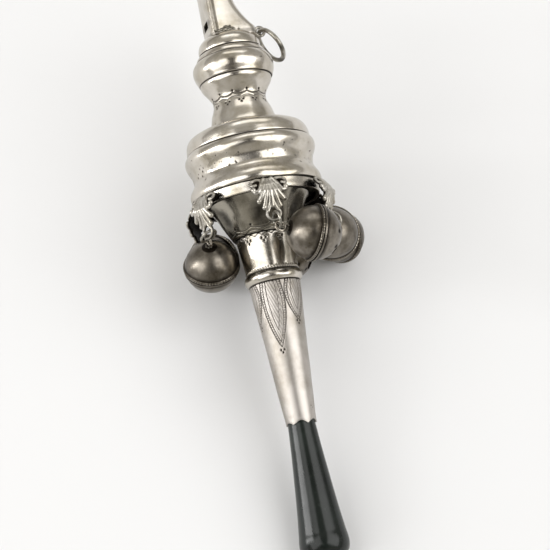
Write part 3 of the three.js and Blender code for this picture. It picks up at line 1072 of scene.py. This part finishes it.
def bells():
    source = fused("leaf_bracket_1", leaf_parts(), LEAF_VOXEL)
    flat_back(source)
    for i, pose in enumerate(BELL_POSES):
        label = i + 1
        spoke = PLACE @ Matrix.Rotation(math.radians(FIRST_BRACKET_TURN + 60 * i), 4, "Z")
        bracket = source
        if i:
            bracket = bpy.data.objects.new(f"leaf_bracket_{label}", source.data.copy())
            bpy.context.scene.collection.objects.link(bracket)
        add_tone(bracket, leaf_tone)
        settle(bracket, CAST, place=spoke, stands_for=[f"bracket_{label}"])

        turn = math.radians(pose["turn"])
        ring_hang = hang_direction(pose["ring"])
        bell_hang = hang_direction(pose["bell"])
        hole = Vector((HOLE_REACH, 0, -HOLE_DROP))
        ring_turn, ring_x = aimed(hole, ring_hang, Vector((math.cos(turn), math.sin(turn), 0)))
        ring = mesh_piece(
            f"jump_ring_{label}_wire",
            *ring_mesh(RING_RADIUS, RING_WIRE, 64, 14, (0, 0, -RING_RADIUS), 0.15)
        )
        add_tone(ring, lambda p: 0.75 + 0.3 * np.sin(p[:, 0] * 3 + p[:, 2] * 2))
        settle(ring, WIRE, f"jump_ring_{label}", spoke @ ring_turn, [f"jump_ring_{label}"])

        bell_turn, _ = aimed(hole + ring_hang * 2 * RING_RADIUS, bell_hang, ring_x)
        centre = spoke @ bell_turn @ Matrix.Translation((0, 0, -BELL_DROP * MM))
        dome = dome_mesh(70 + 5 * i)
        dome.name = f"bell_{label}_dome_skin"
        settle(dome, BELL, f"bell_{label}", centre, [f"bell_{label}_dome"])
        loop = loop_piece(f"bell_{label}_loop_wire")
        settle(loop, BELL, f"bell_{label}", centre, [f"bell_{label}_loop"])
        bowl = bowl_mesh(72 + 5 * i)
        bowl.name = f"bell_{label}_bowl_skin"
        settle(bowl, BELL, f"bell_{label}", centre, [f"bell_{label}_bowl"])

        low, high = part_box(f"bell_{label}_pea")
        pea = mesh_piece(f"bell_{label}_iron_pea", *ball((0, 0, 0), PEA_RADIUS, 14, 24))
        settle(
            pea, IRON, f"pea_{label}", Matrix.Translation((low + high) / 2),
            [f"bell_{label}_pea"]
        )


# ---- suspension ring ----
def suspension():
    eye_axis = Vector((0.24, -0.97, 0.06)).normalized()
    hang = Vector((0.5, 0.1, -0.86)).normalized()
    eye_turn = Matrix.Translation(Vector(EYE_PLACE) * MM) @ Vector((
        0, 1, 0
    )).rotation_difference(eye_axis).to_matrix().to_4x4()
    eye = mesh_piece("suspension_eye_wire", *ring_mesh(1.0, 0.35, 48, 16))
    add_tone(eye, lambda p: 0.5 + 0.4 * (p[:, 0] > 0))
    settle(eye, WIRE, place=PLACE @ eye_turn, stands_for=["suspension_eye"])
    ring_turn, _ = aimed(Vector(EYE_PLACE), hang, eye_axis)
    ring = mesh_piece(
        "suspension_ring_wire", *ring_mesh(HANG_RADIUS, HANG_WIRE, 96, 18, (0, 0, -HANG_RADIUS), 0.12)
    )
    add_tone(ring, lambda p: 0.7 + 0.4 * np.sin(p[:, 0] * 1.3 + p[:, 2]))
    settle(ring, WIRE, "suspension_ring", PLACE @ ring_turn, ["suspension_ring"])


# ---- studio ----
CAMERA_AZIMUTH = -10.94
CAMERA_ELEVATION = 65.8
CAMERA_DISTANCE = 0.3762
CAMERA_LENS = 116.7
CAMERA_AIM = (0.7, 3.34, -16.96)  # millimetres in the rattle's own frame


def towards(azimuth, elevation):
    a, e = math.radians(azimuth), math.radians(elevation)
    return Vector((math.sin(a) * math.cos(e), -math.cos(a) * math.cos(e), math.sin(e)))


def camera():
    data = bpy.data.cameras.new("camera")
    data.lens = CAMERA_LENS
    data.sensor_width = 36
    data.clip_start = 0.02
    data.clip_end = 10
    cam = bpy.data.objects.new("camera", data)
    bpy.context.scene.collection.objects.link(cam)
    back = towards(CAMERA_AZIMUTH, CAMERA_ELEVATION)
    cam.location = PLACE @ (Vector(CAMERA_AIM) * MM) + back * CAMERA_DISTANCE
    cam.rotation_euler = (-back).to_track_quat("-Z", "Y").to_euler()
    bpy.context.scene.camera = cam


def softbox(name, azimuth, elevation, distance, size, power):
    data = bpy.data.lights.new(name, "AREA")
    data.shape = "RECTANGLE"
    data.size, data.size_y = size
    data.energy = power
    light = bpy.data.objects.new(name, data)
    bpy.context.scene.collection.objects.link(light)
    back = towards(azimuth, elevation)
    light.location = back * distance
    light.rotation_euler = (-back).to_track_quat("-Z", "Y").to_euler()


def world():
    """A pale room with a dark patch overhead, where a photographer would stand."""
    studio = bpy.data.worlds.new("studio")
    bpy.context.scene.world = studio
    studio.use_nodes = True
    nodes, links = studio.node_tree.nodes, studio.node_tree.links
    background = nodes["Background"]
    direction = nodes.new("ShaderNodeTexCoord").outputs["Generated"]
    dot = nodes.new("ShaderNodeVectorMath")
    dot.operation = "DOT_PRODUCT"
    dot.inputs[1].default_value = towards(CAMERA_AZIMUTH - 4, CAMERA_ELEVATION + 3)
    links.new(direction, dot.inputs[0])
    wave = noise_node(nodes, links, direction, 2.2, 2, 0.5)
    edge = maths(nodes, links, "ADD", dot.outputs["Value"], maths(nodes, links, "MULTIPLY", wave, 0.05))
    colour = ramp(
        nodes, links, edge,
        [
            (0.0, (0.34, 0.33, 0.31)), (0.45, (0.46, 0.45, 0.42)), (0.85, (0.40, 0.385, 0.35)),
            (0.94, (0.22, 0.21, 0.185)), (0.985, (0.06, 0.055, 0.05))
        ],
    )
    links.new(colour, background.inputs["Color"])
    background.inputs["Strength"].default_value = 1.3


def floor():
    size = 3.0
    mesh = bpy.data.meshes.new("table")
    mesh.from_pydata(
        [(-size, -size, 0), (size, -size, 0), (size, size, 0), (-size, size, 0)], [], [(0, 1, 2, 3)]
    )
    table = bpy.data.objects.new("table", mesh)
    bpy.context.scene.collection.objects.link(table)
    material, nodes, links, shader = node_material("white_table")
    shader.inputs["Base Color"].default_value = (0.765, 0.767, 0.778, 1)
    shader.inputs["Roughness"].default_value = 0.6
    mesh.materials.append(material)


camera()
world()
softbox("window", -75, 46, 1.0, (0.55, 1.0), 3.9)
softbox("strip", -98, 16, 0.9, (0.13, 0.75), 3.2)
softbox("far_side", 74, 50, 1.0, (0.70, 1.0), 6.0)
softbox("behind", 170, 40, 1.1, (0.9, 0.40), 1.9)
floor()
whistle()
cap_and_knop()
drum()
stem()
bells()
suspension()
bpy.context.scene.view_settings.view_transform = "Standard"
